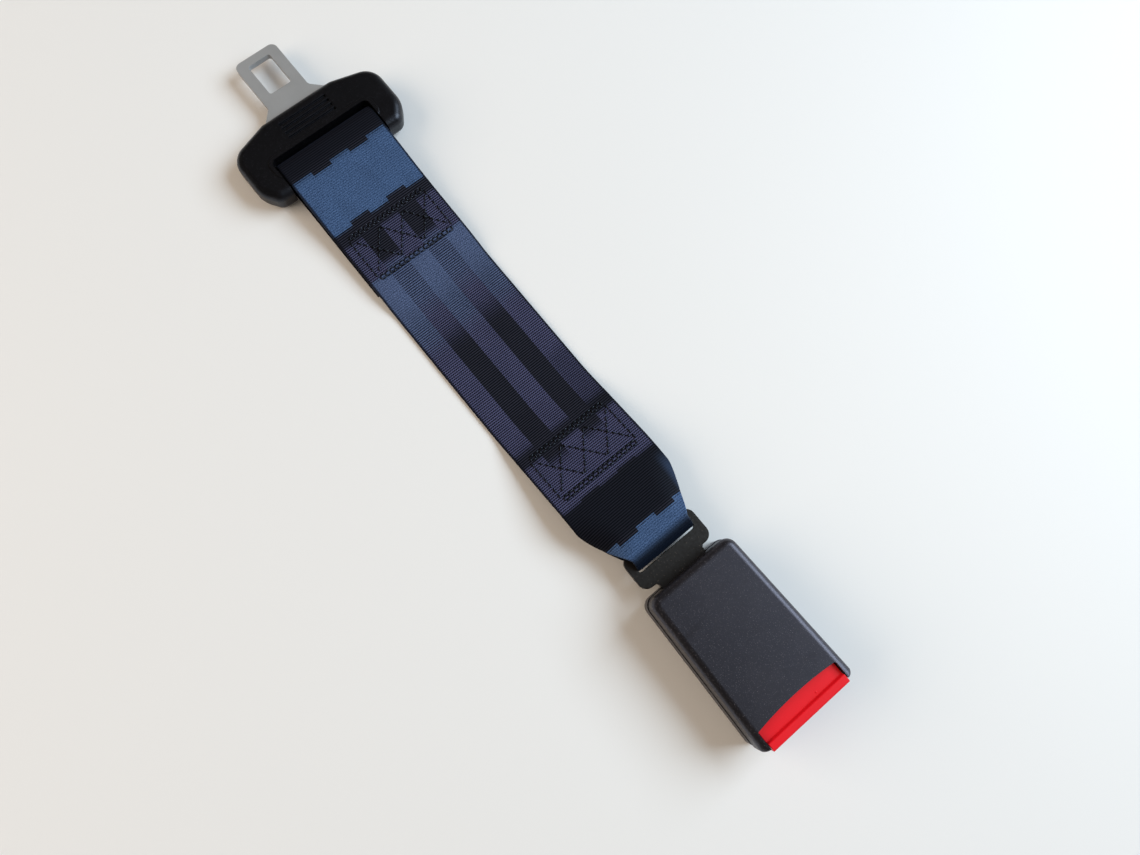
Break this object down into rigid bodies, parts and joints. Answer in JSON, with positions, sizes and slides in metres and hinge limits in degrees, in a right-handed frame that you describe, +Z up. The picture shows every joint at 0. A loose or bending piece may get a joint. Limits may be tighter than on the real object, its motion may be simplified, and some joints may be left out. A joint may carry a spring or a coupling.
{
  "type": "seat belt extender",
  "caption": "Webbing strap sewn around a steel tongue at one end and around the anchor plate of a push-button end-release buckle at the other.",
  "frame": {"origin": "on the surface the extender lies on, under the middle of its length and width", "axes": "+X along the strap from the tongue to the buckle's button end, +Y across the strap, +Z up out of the surface"},
  "size_m": [0.3632, 0.075, 0.0205],
  "materials": {
    "webbing": "woven polyester, satin blue and matt navy blocks",
    "thread": "bonded polyester thread",
    "moulded_black": "fine spark-eroded texture",
    "button_red": "satin",
    "bright_steel": "satin plated",
    "coated_steel": "satin black coating",
    "works_steel": "zinc plated",
    "works_plastic": "natural acetal",
    "spring_steel": "drawn wire"
  },
  "bodies": {
    "strap": {"webbing": "webbing", "needle_thread_tongue_end": "thread", "bobbin_thread_tongue_end": "thread", "needle_thread_buckle_end": "thread", "bobbin_thread_buckle_end": "thread"},
    "tongue": {"tongue_plate": "bright_steel", "tongue_cover": "moulded_black"},
    "buckle": {"anchor_plate": "coated_steel", "anchor_rivet": "works_steel", "buckle_frame": "works_steel", "latch_pin": "works_steel", "buckle_top_cover": "moulded_black", "buckle_bottom_cover": "moulded_black", "ejector_spring": "spring_steel", "button_spring_left": "spring_steel", "button_spring_right": "spring_steel"},
    "button": {"release_button": "button_red"},
    "lock": {"lock_slide": "works_steel"},
    "ejector_block": {"ejector": "works_plastic"},
    "latch": {"latch_plate": "works_steel"}
  },
  "joints": [
    {"name": "tongue_swing", "type": "hinge", "parent": "strap", "child": "tongue", "pos_m": [-0.12498, 0, 0.0055], "axis": [0, 1, 0], "range_deg": [-75, 75]},
    {"name": "buckle_swing", "type": "hinge", "parent": "strap", "child": "buckle", "pos_m": [0.09541, 0, 0.0086], "axis": [0, -1, 0], "range_deg": [-60, 75]},
    {"name": "button_press", "type": "slide", "parent": "buckle", "child": "button", "axis": [-1, 0, 0], "range_m": [0, 0.005], "stiffness_N_per_m": 1000, "springref_m": -0.004, "deforming": ["button_spring_left", "button_spring_right"]},
    {"name": "lock_travel", "type": "slide", "parent": "buckle", "child": "lock", "axis": [-1, 0, 0], "range_m": [0, 0.005]},
    {"name": "ejector_travel", "type": "slide", "parent": "buckle", "child": "ejector_block", "axis": [-1, 0, 0], "range_m": [0, 0.009], "stiffness_N_per_m": 700, "springref_m": -0.005, "deforming": ["ejector_spring"]},
    {"name": "latch_turn", "type": "hinge", "parent": "buckle", "child": "latch", "pos_m": [0.13189, 0, 0.0141], "axis": [0, 1, 0], "range_deg": [0, 10]}
  ],
  "couplings": [
    {"joint": "lock_travel", "follows": "button_press", "ratio": 1},
    {"joint": "latch_turn", "follows": "ejector_travel", "rad_per_m": 19.392}
  ]
}
